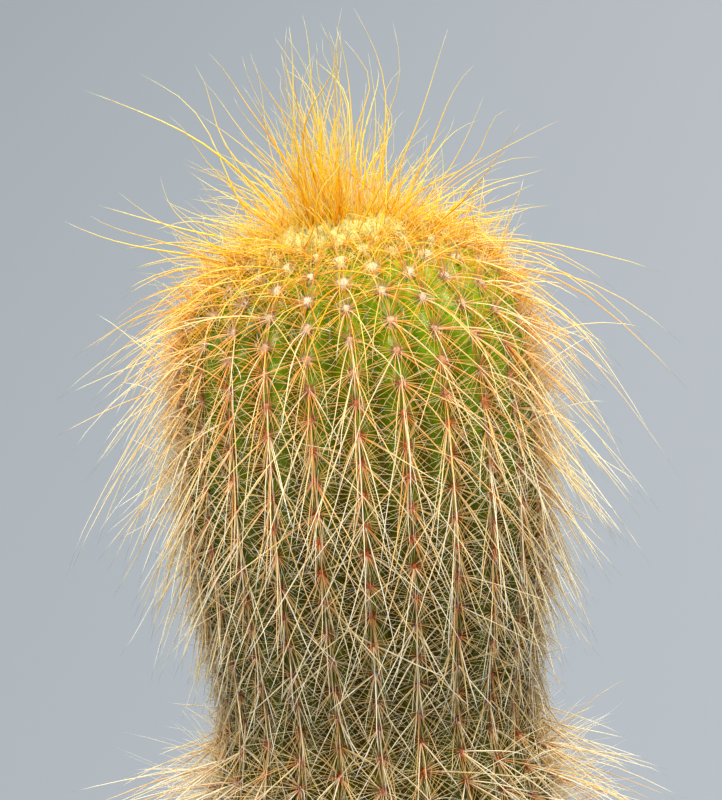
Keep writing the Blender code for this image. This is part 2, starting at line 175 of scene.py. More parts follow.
def directions(arc, angle):
    """Outward normal, the way down the rib and the way across it."""
    arc = np.maximum(arc, 1.5 * MM)
    down = unit(surface(arc + MM, angle) - surface(arc - MM, angle))
    normal = surface(arc, angle, MM) - surface(arc, angle)
    normal = unit(normal - down * (normal * down).sum(-1, keepdims=True))
    return normal, down, np.cross(normal, down)


# %% [markdown]
# ## The camera
#
# The photograph was taken with a long lens from a little above, so the ribs at both edges look
# alike. The camera is placed by one pixel of it, that of the growing point, and by its scale.


# %% Objects and meshes
def new_object(name, data):
    """An object for a mesh, a light or a camera, put into the scene."""
    obj = bpy.data.objects.new(name, data)
    bpy.context.scene.collection.objects.link(obj)
    return obj


def ended(bm, name):
    """A finished bmesh as a mesh."""
    mesh = bpy.data.meshes.new(name)
    bm.to_mesh(mesh)
    bm.free()
    return mesh


# %% Camera
PHOTO_WIDTH, PHOTO_HEIGHT = 722, 800
GROWING_POINT_PX = (338, 230)
PIXEL = 0.244 * MM
CAMERA_DISTANCE = 1.6
CAMERA_ELEVATION = math.radians(9.5)
SENSOR = 36.0

growing_point = Vector(surface(0.0, 0.0))
toward_camera = Vector((0, -math.cos(CAMERA_ELEVATION), math.sin(CAMERA_ELEVATION)))
picture_up = Vector((0, math.sin(CAMERA_ELEVATION), math.cos(CAMERA_ELEVATION)))
aim = growing_point + Vector(((PHOTO_WIDTH / 2 - GROWING_POINT_PX[0]) * PIXEL, 0, 0))
aim -= picture_up * (PHOTO_HEIGHT / 2 - GROWING_POINT_PX[1]) * PIXEL

camera_data = bpy.data.cameras.new("camera")
camera_data.sensor_width = SENSOR
camera_data.lens = SENSOR * CAMERA_DISTANCE / (PHOTO_HEIGHT * PIXEL)
camera = new_object("camera", camera_data)
camera.location = aim + toward_camera * CAMERA_DISTANCE
camera.rotation_euler = (math.pi / 2 - CAMERA_ELEVATION, 0, 0)
bpy.context.scene.camera = camera
print("camera:", round(camera_data.lens), "mm lens at", CAMERA_DISTANCE, "m")

# %% [markdown]
# ## Light
#
# The light is that of a bright window: broad, from above and in front, with the sky filling the
# shadows. A thin spine glows when lit from behind, so a third light stands behind the plant. All
# are suns with wide discs, because a sun lights a wide floor evenly.


# %% Lights
def sun(name, azimuth, elevation, strength, width, colour):
    """A soft sun: azimuth 0 is behind the camera, and 90 is on the right of the picture."""
    azimuth, elevation = math.radians(azimuth), math.radians(elevation)
    data = bpy.data.lights.new(name, "SUN")
    data.energy = strength
    data.angle = math.radians(width)
    data.color = colour
    light = new_object(name, data)
    flat = math.cos(elevation)
    toward = (flat * math.sin(azimuth), -flat * math.cos(azimuth), math.sin(elevation))
    light.rotation_euler = Vector(toward).to_track_quat("Z", "Y").to_euler()


sun("window", -9, 52, 5.2, 18, (1.0, 0.98, 0.94))
sun("side", 62, 30, 0.5, 50, (1.0, 0.99, 0.97))
sun("back", 182, 46, 3.0, 30, (1.0, 0.97, 0.90))

SKY_STRENGTH = 0.4
world = bpy.data.worlds.new("room")
world.use_nodes = True
world.node_tree.nodes["Background"].inputs["Color"].default_value = (1.0, 0.97, 0.92, 1)
world.node_tree.nodes["Background"].inputs["Strength"].default_value = SKY_STRENGTH
bpy.context.scene.world = world
bpy.context.scene.view_settings.view_transform = "Standard"
print("3 soft suns and a sky of strength", SKY_STRENGTH)

# %% [markdown]
# ## Small helpers for materials
#
# Every finish here is one Principled shader with a few nodes before it. These helpers keep each
# recipe short: add a node, lay colours along a ramp, blend two colours.


# %% Nodes
def feed(tree, socket, value):
    """Joins an input to another node's output, or sets it to a number or a colour."""
    if isinstance(value, bpy.types.NodeSocket):
        tree.links.new(value, socket)
    else:
        socket.default_value = (*value, 1.0) if isinstance(value, tuple) else value


def add_node(tree, kind, inputs=None, **settings):
    """A node with its settings made and its inputs fed."""
    node = tree.nodes.new(kind)
    for name, value in settings.items():
        setattr(node, name, value)
    for name, value in (inputs or {}).items():
        feed(tree, node.inputs[name], value)
    return node


def ramp(tree, factor, *stops):
    """Colours laid along a factor: each stop is a position and a colour."""
    node = add_node(tree, "ShaderNodeValToRGB", {"Fac": factor})
    while len(node.color_ramp.elements) < len(stops):
        node.color_ramp.elements.new(1.0)
    for element, (position, colour) in zip(node.color_ramp.elements, stops):
        element.position = position
        element.color = (*colour, 1.0)
    return node.outputs["Color"]


def blend(tree, factor, first, second, blend_type="MIX"):
    """Two colours mixed: each is a colour or a socket."""
    inputs = {0: factor, 6: first, 7: second}
    node = add_node(tree, "ShaderNodeMix", inputs, data_type="RGBA", blend_type=blend_type)
    return node.outputs[2]


def maths(tree, operation, *values, clamped=False):
    """A sum on numbers that change over the surface."""
    inputs, settings = dict(enumerate(values)), {"operation": operation, "use_clamp": clamped}
    return add_node(tree, "ShaderNodeMath", inputs, **settings).outputs[0]


def spread_out(tree, value, low, high, to_low=0.0, to_high=1.0):
    """A value mapped from one range to another."""
    inputs = {"Value": value, "From Min": low, "From Max": high}
    inputs |= {"To Min": to_low, "To Max": to_high}
    return add_node(tree, "ShaderNodeMapRange", inputs).outputs["Result"]


def attribute(tree, name):
    return add_node(tree, "ShaderNodeAttribute", attribute_name=name).outputs["Fac"]


def object_place(tree):
    return add_node(tree, "ShaderNodeTexCoord").outputs["Object"]


# %% Materials
def new_material(name, colour, roughness, specular=0.5):
    """A material with its tree and shader."""
    material = bpy.data.materials.new(name)
    material.use_nodes = True
    material.diffuse_color = (*colour, 1.0)
    shader = material.node_tree.nodes["Principled BSDF"]
    shader.inputs["Base Color"].default_value = (*colour, 1.0)
    shader.inputs["Roughness"].default_value = roughness
    shader.inputs["Specular IOR Level"].default_value = specular
    return material, material.node_tree, shader


def let_light_through(shader, weight, radius, scale):
    for name, value in (("Weight", weight), ("Radius", radius), ("Scale", scale)):
        shader.inputs["Subsurface " + name].default_value = value


def darkened(tree, colour, mask, low, darkest, high):
    """A colour dulled where a mask is low."""
    shade = ramp(tree, mask, (low, darkest), (high, (1.0, 1.0, 1.0)))
    return blend(tree, 1.0, colour, shade, "MULTIPLY")


def dress(tree, shader, colour, height, distance, strength=1.0):
    """Gives a shader its colour, and fine relief as a bump."""
    tree.links.new(colour, shader.inputs["Base Color"])
    inputs = {"Height": height, "Distance": distance, "Strength": strength}
    node = add_node(tree, "ShaderNodeBump", inputs)
    tree.links.new(node.outputs["Normal"], shader.inputs["Normal"])


# %% Mottle, an effect that several finishes share
FINER = 14.0


def build_mottle():
    """A shader group: clouds, and a grain many times finer, as masks from 0 to 1."""
    group = bpy.data.node_groups.new("mottle", "ShaderNodeTree")
    for name in ("Scale", "Contrast"):
        group.interface.new_socket(name, in_out="INPUT", socket_type="NodeSocketFloat")
    for name in ("Clouds", "Grain"):
        group.interface.new_socket(name, in_out="OUTPUT", socket_type="NodeSocketFloat")
    wanted = group.nodes.new("NodeGroupInput").outputs
    made = group.nodes.new("NodeGroupOutput").inputs
    place = object_place(group)
    finer = maths(group, "MULTIPLY", wanted["Scale"], FINER)
    for scale, output in ((wanted["Scale"], "Clouds"), (finer, "Grain")):
        inputs = {"Vector": place, "Scale": scale, "Detail": 4.0}
        noise = add_node(group, "ShaderNodeTexNoise", inputs).outputs["Fac"]
        centred = maths(group, "SUBTRACT", noise, 0.5)
        mask = maths(group, "MULTIPLY_ADD", centred, wanted["Contrast"], 0.5, clamped=True)
        group.links.new(mask, made[output])
    return group


mottle_group = build_mottle()


def mottle(tree, scale, contrast):
    """The shared group's two masks, in a material."""
    inputs = {"Scale": scale, "Contrast": contrast}
    node = add_node(tree, "ShaderNodeGroup", inputs, node_tree=mottle_group)
    return node.outputs["Clouds"], node.outputs["Grain"]


print("shared group:", mottle_group.name)

# %% [markdown]
# ## The floor
#
# The floor is the backdrop too, because a low camera sees floor right up to the top of its
# picture. It is a pale blue-grey with painted light on it: a little lighter to the right, and
# darkened far away by painted shade.

# %% Floor
FLOOR_RADIUS = 14.0
bm = bmesh.new()
bmesh.ops.create_circle(bm, cap_ends=True, segments=64, radius=FLOOR_RADIUS)
floor = new_object("floor", ended(bm, "floor"))
floor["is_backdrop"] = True

paint, tree, shader = new_material("studio_floor", (0.22, 0.25, 0.28), 0.9, 0.0)
place = add_node(tree, "ShaderNodeSeparateXYZ", {"Vector": object_place(tree)}).outputs
# Painted light: the floor's colour is lighter towards the right
shade = spread_out(tree, place["X"], -0.4, 0.4)
colour = ramp(tree, shade, (0.0, (0.154, 0.178, 0.203)), (1.0, (0.227, 0.247, 0.278)))
# Painted shade: the floor's colour is darker far away
far = spread_out(tree, place["Y"], 0.5, 3.5)
colour = blend(tree, far, colour, blend(tree, 1.0, colour, (0.9, 0.9, 0.9), "MULTIPLY"))
tree.links.new(colour, shader.inputs["Base Color"])
floor.data.materials.append(paint)
print("floor radius, m:", FLOOR_RADIUS)

# %% [markdown]
# ## The pot
#
# The photograph cuts the pot off, so this is the plainest pot that such a plant is sold in: a
# thrown terracotta cone with a collar. One profile of its wall, inside and out, is spun round the
# axis, with each corner rounded by a small arc.


# %% Turned pieces
SHARP_ANGLE = math.radians(38)


def arc_corner(before, corner, after, radius, steps=4):
    """A corner of a profile, turned into a small arc."""
    before, corner, after = Vector(before), Vector(corner), Vector(after)
    start = corner + (before - corner).normalized() * radius
    end = corner + (after - corner).normalized() * radius
    shares = [i / steps for i in range(steps + 1)]
    return [start.lerp(corner, t).lerp(corner.lerp(end, t), t) for t in shares]


def turned(name, profile, steps, closed):
    """A profile of (radius, z) spun round the Z axis into a closed mesh."""
    bm = bmesh.new()
    verts = [bm.verts.new((point[0], 0, point[1])) for point in profile]
    for first, second in zip(verts, verts[1:]):
        bm.edges.new((first, second))
    if closed:
        bm.edges.new((verts[-1], verts[0]))
    line = [*bm.verts, *bm.edges]
    bmesh.ops.spin(bm, geom=line, axis=(0, 0, 1), steps=steps, angle=math.tau, use_merge=True)
    bmesh.ops.remove_doubles(bm, verts=bm.verts, dist=0.01 * MM)
    bmesh.ops.recalc_face_normals(bm, faces=bm.faces)
    mesh = ended(bm, name)
    mesh.shade_smooth()
    mesh.set_sharp_from_angle(angle=SHARP_ANGLE)
    return mesh


def piece(name, mesh, material, node):
    """A finished piece of the object, which stands for a node of the solid model."""
    mesh.materials.append(material)
    obj = new_object(name, mesh)
    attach(obj, "root")
    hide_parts(node)
    print(name, len(mesh.polygons), "faces")


# %% Pot
POT_STEPS = 160
FLOOR_THICKNESS = 7 * MM
INNER_CORNER = 3 * MM
mouth, rim = (57.5 * MM, pot_top), (64 * MM, pot_top)
collar_foot = (62 * MM, pot_top - 24 * MM)
neck = (58.5 * MM, pot_top - 25.5 * MM)
foot, drain = (43 * MM, 0), (7 * MM, 0)
drain_top = (7 * MM, FLOOR_THICKNESS)
inner_foot = (37.5 * MM, FLOOR_THICKNESS)

profile = [
    *arc_corner(mouth, rim, collar_foot, 2 * MM),
    *arc_corner(rim, collar_foot, neck, 1.2 * MM),
    *arc_corner(collar_foot, neck, foot, 0.6 * MM),
    *arc_corner(neck, foot, drain, 1.5 * MM),
    *arc_corner(foot, drain, drain_top, 0.8 * MM),
    *arc_corner(drain, drain_top, inner_foot, 0.8 * MM),
    *arc_corner(drain_top, inner_foot, mouth, INNER_CORNER),
    *arc_corner(inner_foot, mouth, rim, 2 * MM),
]
pot_mesh = turned("pot_shell", profile, POT_STEPS, closed=True)

# %% [markdown]
# ### Terracotta
#
# Fired clay is matte and porous, and varies from orange to dusty pink. Fine throwing rings run
# round it, and watering leaves a pale bloom of salts in cloudy patches near the foot. The rings
# are a wave on the height, and the bloom is a cloudy mask that fades upwards.

# %% Terracotta material
clay, tree, shader = new_material("terracotta", (0.50, 0.20, 0.10), 0.85, 0.3)
clouds, grain = mottle(tree, 28.0, 1.6)
deep, middle, pale = (0.40, 0.145, 0.07), (0.49, 0.195, 0.095), (0.56, 0.26, 0.145)
body = ramp(tree, clouds, (0.15, deep), (0.5, middle), (0.9, pale))
body = darkened(tree, body, grain, 0.1, (0.82, 0.80, 0.78), 0.7)
place = object_place(tree)
height = add_node(tree, "ShaderNodeSeparateXYZ", {"Vector": place}).outputs["Z"]
bloom = spread_out(tree, height, 38 * MM, 0.0, 0.0, 0.85)
patches, _ = mottle(tree, 60.0, 3.4)
salt = maths(tree, "MULTIPLY", bloom, patches)
body = blend(tree, salt, body, (0.66, 0.58, 0.50))
inputs = {"Vector": place, "Scale": 190.0, "Distortion": 0.7}
rings = add_node(tree, "ShaderNodeTexWave", inputs, bands_direction="Z").outputs["Fac"]
relief = maths(tree, "MULTIPLY_ADD", rings, 0.5, grain)
dress(tree, shader, body, relief, 0.12 * MM, 0.8)
piece("pot_shell", pot_mesh, clay, "pot")

# %% [markdown]
# ## The soil
#
# Cacti stand in gritty mix: dark crumb with brown and grey stones and a little white pumice. The
# bed is turned like the pot, with a hollow for the stem's foot, and its top is roughened.

# %% Soil bed
HOLE_GAP = 0.3 * MM
CRUMB = 0.6 * MM
SOIL_EDGE = 55.2 * MM
BED_RINGS, BED_STEPS = 22, 170
hole = [(radius + HOLE_GAP, soil_top + STEM_HEIGHT - depth) for depth, radius in BURIED_FLANK]
hole_radius = FLANK[-1][1] + HOLE_GAP
hole_floor = soil_top + STEM_HEIGHT - ROOT_DEPTH - HOLE_GAP
steps = [hole_radius + (SOIL_EDGE - hole_radius) * i / BED_RINGS for i in range(BED_RINGS + 1)]
bed_floor = FLOOR_THICKNESS + HOLE_GAP
profile = [
    (0, hole_floor),
    (hole[1][0], hole_floor),
    *reversed(hole),
    *((radius, soil_top) for radius in steps),
    (inner_foot[0] + HOLE_GAP, bed_floor + INNER_CORNER),
    (inner_foot[0] - INNER_CORNER, bed_floor),
    (0, bed_floor),
]
bed_mesh = turned("soil_bed", profile, BED_STEPS, closed=False)
draw = np.random.default_rng(11)
for vert in bed_mesh.vertices:
    if vert.co.z > soil_top - 0.1 * MM:
        vert.co.z += draw.uniform(-1, 0.7) * CRUMB
bed_mesh.shade_flat()

# %% Soil material
soil, tree, shader = new_material("potting_mix", (0.10, 0.07, 0.05), 0.95, 0.25)
clouds, grain = mottle(tree, 420.0, 2.6)
wet, damp, dry = (0.03, 0.02, 0.013), (0.085, 0.055, 0.036), (0.17, 0.12, 0.08)
crumb = ramp(tree, clouds, (0.1, wet), (0.55, damp), (0.95, dry))
dress(tree, shader, crumb, grain, 0.3 * MM)
piece("soil_bed", bed_mesh, soil, "soil")

# %% [markdown]
# ### Grit
#
# The stones are one rough icosphere, copied many times. An Array modifier makes the copies, all
# in one place, and then every copy gets its own size, turn and place. The spines are made in
# the same way.


# %% Many copies of one small shape
def small_shape(name, bm):
    """A mesh of a small triangulated shape, with its points."""
    bmesh.ops.triangulate(bm, faces=bm.faces)
    mesh = ended(bm, name)
    return mesh, np.array([vert.co for vert in mesh.vertices])


def store(mesh, name, values):
    """One number a point, which materials read as an attribute."""
    layer = mesh.attributes.new(name, "FLOAT", "POINT")
    layer.data.foreach_set("value", values.astype(np.float32).ravel())


def crowd(name, shape, points, values):
    """Copies of a shape: points is (copies, points, 3), and values go into attributes."""
    maker = new_object(name, shape)
    array = maker.modifiers.new("copies", "ARRAY")
    array.use_relative_offset = False
    array.count = len(points)
    graph = bpy.context.evaluated_depsgraph_get()
    mesh = bpy.data.meshes.new_from_object(maker.evaluated_get(graph))
    bpy.data.objects.remove(maker)
    mesh.name = name
    mesh.vertices.foreach_set("co", points.astype(np.float32).ravel())
    for key, value in values.items():
        store(mesh, key, np.broadcast_to(value, points.shape[:2]))
    mesh.update()
    mesh.shade_smooth()
    return mesh


def rough_ball(name, roughness, seed):
    """A small ball with an uneven surface."""
    bm = bmesh.new()
    bmesh.ops.create_icosphere(bm, subdivisions=2, radius=1.0)
    shape = random.Random(seed)
    for vert in bm.verts:
        vert.co *= shape.uniform(1 - roughness, 1 + roughness)
    return small_shape(name, bm)


def random_turns(draw, count):
    """Rotation matrices, evenly spread."""
    w, x, y, z = unit(draw.normal(size=(count, 4))).T
    rows = (
        (1 - 2 * (y * y + z * z), 2 * (x * y - w * z), 2 * (x * z + w * y)),
        (2 * (x * y + w * z), 1 - 2 * (x * x + z * z), 2 * (y * z - w * x)),
        (2 * (x * z - w * y), 2 * (y * z + w * x), 1 - 2 * (x * x + y * y)),
    )
    return np.array(rows).transpose(2, 0, 1)


# %% Grit
STONES = 1500
STONE_MARGIN = 2.4 * MM
STONE_SIZES = (0.4, 2.1)  # mm
stone, stone_points = rough_ball("stone", 0.16, seed=5)
draw = np.random.default_rng(12)
size = np.clip(draw.lognormal(-0.15, 0.42, STONES), *STONE_SIZES) * MM
squash = draw.uniform(0.6, 1.0, (STONES, 3)) * size[:, None]
inner, outer = hole_radius + STONE_MARGIN, SOIL_EDGE - STONE_MARGIN
radius = np.sqrt(draw.uniform(inner**2, outer**2, STONES))
angle = draw.uniform(0, math.tau, STONES)
centre = np.stack([radius * np.cos(angle), radius * np.sin(angle), soil_top + size * 0.15], -1)
turn = random_turns(draw, STONES)
stones = centre[:, None] + np.einsum("nij,nkj->nki", turn, stone_points * squash[:, None])
grit_mesh = crowd("soil_grit", stone, stones, {"tone": draw.uniform(0, 1, (STONES, 1))})

grit, tree, shader = new_material("grit", (0.3, 0.25, 0.2), 0.8)
colour = ramp(
    tree, attribute(tree, "tone"),
    (0.0, (0.055, 0.038, 0.026)), (0.45, (0.12, 0.08, 0.052)),
    (0.7, (0.26, 0.18, 0.115)), (0.86, (0.33, 0.31, 0.28)),
    (1.0, (0.66, 0.63, 0.58)),
)
_, grain = mottle(tree, 700.0, 2.0)
colour = darkened(tree, colour, grain, 0.2, (0.75, 0.72, 0.68), 0.8)
dress(tree, shader, colour, grain, 0.12 * MM)
piece("soil_grit", grit_mesh, grit, "soil")

# %% [markdown]
# ## The stem's skin
#
# The stem has twenty-four ribs. Each swells at its areoles, the cushions that spines grow from,
# and neighbouring ribs carry theirs half a step apart. A fine grid is rolled round the stem: the
# columns follow the ribs, and a cosine makes both the round crests and the sharp valleys.

# %% Ribs and areoles
RIBS = 24
RIB_DEPTH = 3.4 * MM
RIBS_START, RIBS_FULL, RIBS_FADE = 8 * MM, 40 * MM, 9 * MM
FIRST_AREOLE = 18.5 * MM
AREOLE_STEP = 7.4 * MM
TUBERCLE = 0.8 * MM
AREOLE_ROWS = int((SOIL_ARC - 4 * MM - FIRST_AREOLE) / AREOLE_STEP)


def rib_relief(arc, angle):
    """How far the skin stands above the crests' surface: negative in the valleys."""
    grown = smoothstep(arc, RIBS_START, RIBS_FULL)
    grown = grown * (1 - smoothstep(arc, SOIL_ARC - RIBS_FADE, SOIL_ARC))
    crest = np.abs(np.cos(RIBS * angle / 2))
    odd = np.round(angle * RIBS / math.tau) % 2
    step = (arc - FIRST_AREOLE) / AREOLE_STEP - 0.5 * odd
    swell = 0.5 + 0.5 * np.cos(math.tau * step)
    started = smoothstep(arc, FIRST_AREOLE - AREOLE_STEP, FIRST_AREOLE)
    buried = smoothstep(arc, SOIL_ARC - RIBS_FADE, SOIL_ARC)
    swelling = TUBERCLE * swell * crest**2 * started * (1 - buried)
    return swelling - RIB_DEPTH * grown * (1 - crest**0.85)


# %% Skin mesh
SKIN_COLUMNS = RIBS * 12
SKIN_ROWS = 210


def rolled(name, columns, rows, place):
    """A grid rolled into a closed form; place(row share, column share) gives its points."""
    bm = bmesh.new()
    bmesh.ops.create_grid(bm, x_segments=columns, y_segments=rows, size=0.5)
    shares = np.array([vert.co for vert in bm.verts])
    placed = place(0.5 - shares[:, 1], (shares[:, 0] + 0.5) % 1.0)
    for vert, point in zip(bm.verts, placed):
        vert.co = point
    bmesh.ops.remove_doubles(bm, verts=bm.verts, dist=0.002 * MM)
    bmesh.ops.holes_fill(bm, edges=bm.edges, sides=0)
    bmesh.ops.recalc_face_normals(bm, faces=bm.faces)
    mesh = ended(bm, name)
    mesh.shade_smooth()
    return mesh


def skin_place(row, column):
    arc, angle = row * ARC[-1], column * math.tau
    return surface(arc, angle, rib_relief(arc, angle))


skin_mesh = rolled("stem_skin", SKIN_COLUMNS, SKIN_ROWS, skin_place)
print("skin columns and rows:", SKIN_COLUMNS, SKIN_ROWS)


# %% Attributes of the skin
def inverse_place(points):
    """Depth below the growing point and distance from the centreline."""
    along = np.interp(points[..., 2], AXIS_Z, ALONG)
    centre = np.interp(points[..., 2], AXIS_Z, AXIS_X)
    return STEM_HEIGHT - along, np.hypot(points[..., 0] - centre, points[..., 1])


skin_points = np.array([vert.co for vert in skin_mesh.vertices])
depth, distance = inverse_place(skin_points)
valley = (np.interp(depth, ARC_DEPTH, ARC_RADIUS) - distance) / RIB_DEPTH
store(skin_mesh, "depth", depth / STEM_HEIGHT)
store(skin_mesh, "valley", np.clip(valley, 0, 1))
print("skin points:", len(skin_points))

# %% [markdown]
# ### Living green
#
# New skin by the crown is a bright yellow green. It darkens with age and turns corky brown where
# it meets the soil, and part of its darkening down the stem is painted shade from the spines over
# it. In the rib valleys its colour is painted shade, browned by painted orange light from the
# spines. It is waxy, so it has a soft gloss, and it is dotted with tiny pale stomata.

# %% Skin material
flesh, tree, shader = new_material("green_skin", (0.12, 0.22, 0.03), 0.26, 0.2)
let_light_through(shader, 0.08, (0.5, 0.6, 0.02), 3 * MM)
age = attribute(tree, "depth")
# Darker down the stem: partly the skin's age, partly painted shade of the spines over the lower
# stem
crest = ramp(
    tree, age,
    (0.0, (0.40, 0.52, 0.02)), (0.1, (0.17, 0.35, 0.0)),
    (0.25, (0.11, 0.20, 0.0)), (0.45, (0.06, 0.075, 0.002)),
    (0.9, (0.05, 0.05, 0.003)), (1.0, (0.17, 0.12, 0.05)),
)
# Painted shade: the valleys are darker than the crests, and browned by painted orange light from
# the spines
valley = ramp(
    tree, age,
    (0.0, (0.30, 0.44, 0.015)), (0.12, (0.085, 0.115, 0.0)),
    (0.3, (0.062, 0.047, 0.0)), (0.5, (0.042, 0.025, 0.0)),
    (1.0, (0.03, 0.016, 0.001)),
)
green = blend(tree, attribute(tree, "valley"), crest, valley)
clouds, grain = mottle(tree, 150.0, 1.8)
green = darkened(tree, green, clouds, 0.1, (0.78, 0.82, 0.7), 0.7)
inputs = {"Vector": object_place(tree), "Scale": 1300.0}
stomata = add_node(tree, "ShaderNodeTexVoronoi", inputs).outputs["Distance"]
dots = spread_out(tree, stomata, 0.34, 0.18, 0.0, 0.18)
green = blend(tree, dots, green, (0.42, 0.52, 0.02))
dress(tree, shader, green, grain, 0.1 * MM, 0.6)
piece("stem_skin", skin_mesh, flesh, "stem")

# %% [markdown]
# ## Areoles
#
# An areole is a small cushion of felt on the crest of a rib, a little longer than wide. The
# youngest crowd round the growing point in a spiral, deep in pale wool. Down the ribs they stand
# in rows: pale and swollen at first, then salmon and orange red, and brown at last. Each keeps
# its place, because the spines grow from there.


# %% Areole places
class Areoles:
    """Places that spines grow from: a point, three directions and an age for each."""

    def __init__(self, arc, angle, raised, age):
        self.arc, self.age = arc, age
        self.point = surface(arc, angle, raised)
        self.normal, self.down, self.side = directions(arc, angle)

    def chosen(self, which):
        """Only the areoles that which is true for."""
        some = object.__new__(Areoles)
        for name, value in vars(self).items():
            setattr(some, name, value[which])
        return some

    def past(self, arcs):
        """A column of shares that rises from 0 to 1 between two arc lengths."""
        return smoothstep(self.arc, *arcs)[:, None]

    def aim(self, clock, lift):
        """Directions by a clock angle, 0 being down the rib, and a lift from the skin."""
        flat = self.down[:, None] * np.cos(clock)[..., None]
        flat = flat + self.side[:, None] * np.sin(clock)[..., None]
        return flat * np.cos(lift)[..., None] + self.normal[:, None] * np.sin(lift)[..., None]

    def __len__(self):
        return len(self.arc)


AGEING_ARCS = (15 * MM, 150 * MM)
FIRST_ROWS = 42 * MM
WAIST_ARCS = (146 * MM, 156 * MM)
AREOLE_STRAY = 0.25 * MM
rib, row = (index.ravel() for index in np.meshgrid(np.arange(RIBS), np.arange(AREOLE_ROWS)))
draw = np.random.default_rng(21)
arc = FIRST_AREOLE + AREOLE_STEP * (row + 0.5 * (rib % 2))
arc += draw.normal(0, AREOLE_STRAY, len(rib))
below_waist = smoothstep(arc, *WAIST_ARCS)
age = smoothstep(arc, *AGEING_ARCS) * (1 - 0.3 * below_waist)
on_ribs = Areoles(arc, math.tau * rib / RIBS, TUBERCLE, age)

CROWN_AREOLES = 96
CROWN_REACH = 16.5 * MM
GOLDEN_ANGLE = math.radians(137.508)
CAP_DOME = ((0, 1), (0.35, 1), (0.7, 0.8), (0.95, 0.4))  # share of arc, of height
cap_share, cap_height = zip(*CAP_DOME, (1.1, 0.1))
spiral = np.arange(CROWN_AREOLES)
arc = CROWN_REACH * np.sqrt((spiral + 0.5) / CROWN_AREOLES)
raised = CAP_THICKNESS * np.interp(arc / CAP_ARC, cap_share, cap_height)
on_crown = Areoles(arc, spiral * GOLDEN_ANGLE, raised, np.zeros(CROWN_AREOLES))
print(len(on_ribs), "areoles on the ribs and", len(on_crown), "on the crown")

# %% Areole cushions
RIB_CUSHION = (1.1 * MM, 1.3 * MM, 0.8 * MM)  # width, height and thickness
CROWN_CUSHION = (1.75 * MM, 1.9 * MM, 1.8 * MM)
SWELLINGS = ((0.42, 45 * MM, 90 * MM), (0.75, 25 * MM, 50 * MM))  # share, and the arcs it ends in
cushion, cushion_points = rough_ball("cushion", 0.11, seed=6)


def cushions(name, areoles, size, draw):
    """A cushion on each areole; size is its width, height and thickness."""
    axes = np.stack([areoles.side, areoles.down, areoles.normal], -1)
    sizes = size * draw.uniform(0.82, 1.18, (len(areoles), 1))
    points = np.einsum("nij,nkj->nki", axes, cushion_points * sizes[:, None])
    points += areoles.point[:, None]
    return crowd(name, cushion, points, {"age": areoles.age[:, None]})


draw = np.random.default_rng(22)
swollen = np.full(len(on_ribs), 0.5)
for more, nearest, furthest in SWELLINGS:
    swollen += more * (1 - smoothstep(on_ribs.arc, nearest, furthest))
size = np.outer(swollen, RIB_CUSHION)
rib_cushions = cushions("areole_cushions", on_ribs, size, draw)
size = np.outer(0.7 + 0.6 * on_crown.arc / CROWN_REACH, CROWN_CUSHION)
crown_cushions = cushions("crown_cushions", on_crown, size, draw)

felt, tree, shader = new_material("areole_felt", (0.7, 0.6, 0.45), 0.95, 0.2)
let_light_through(shader, 0.5, (1.0, 0.8, 0.5), 1 * MM)
colour = ramp(
    tree, attribute(tree, "age"),
    (0.0, (1.0, 0.95, 0.34)), (0.02, (1.0, 0.94, 0.50)),
    (0.06, (1.0, 0.90, 0.68)), (0.14, (1.0, 0.64, 0.40)),
    (0.35, (1.0, 0.26, 0.07)), (0.65, (0.85, 0.17, 0.04)),
    (1.0, (0.22, 0.07, 0.03)),
)
_, grain = mottle(tree, 1500.0, 2.4)
colour = darkened(tree, colour, grain, 0.2, (0.88, 0.82, 0.72), 0.7)
dress(tree, shader, colour, grain, 0.2 * MM)
piece("areole_cushions", rib_cushions, felt, "stem")
piece("crown_cushions", crown_cushions, felt, "crown")

# %% [markdown]
# ## How a spine is made
#
# A spine is a cone of three or four sides, cut across at a few levels, that tapers slowly and
# then quickly. Its levels are laid along a path: straight out, pulled down by its own weight,
# curled aside, and a little wavy. All spines of one kind are bent at once, as one crowd.


# %% Spine shape and paths
NUDGE = np.array([0.013, 0.02, 0.017])  # keeps a cross product from vanishing


def spine_shape(sides, levels):
    """A straight spine: its mesh, the points' offsets from its middle, and their levels."""
    bm = bmesh.new()
    bmesh.ops.create_cone(bm, segments=sides, radius1=1, radius2=0, depth=1, cap_ends=True)
    bmesh.ops.translate(bm, verts=bm.verts, vec=(0, 0, 0.5))
    for i in range(1, levels):
        everything = [*bm.verts, *bm.edges, *bm.faces]
        cut = (0, 0, i / levels)
        bmesh.ops.bisect_plane(bm, geom=everything, plane_co=cut, plane_no=(0, 0, 1))
    bmesh.ops.remove_doubles(bm, verts=bm.verts, dist=1e-5)
    mesh, points = small_shape("spine", bm)
    level = np.round(points[:, 2] * levels).astype(int)
    across = np.hypot(points[:, 0], points[:, 1])
    taper = (1 - level / levels) ** 0.5 / np.maximum(across, 1e-6)
    return mesh, points[:, :2] * np.where(across > 1e-6, taper, 0)[:, None], level


def spine_paths(root, way, length, droop, curl, swing, levels):
    """Paths as (spines, levels + 1, 3), from arrays with one row or value a spine."""
    s = np.linspace(0, 1, levels + 1)
    path = root[:, None] + way[:, None] * (length[:, None] * s)[..., None]
    path += curl[:, None] * (length[:, None] * s**2)[..., None]
    path[..., 2] -= (droop * length)[:, None] * s**2
    turns, phase, size = swing
    wave = size[:, None] * s**1.3 * np.sin(turns[:, None] * math.tau * s + phase[:, None])
    across = unit(np.cross(way, curl + NUDGE))
    return path + across[:, None] * wave[..., None]


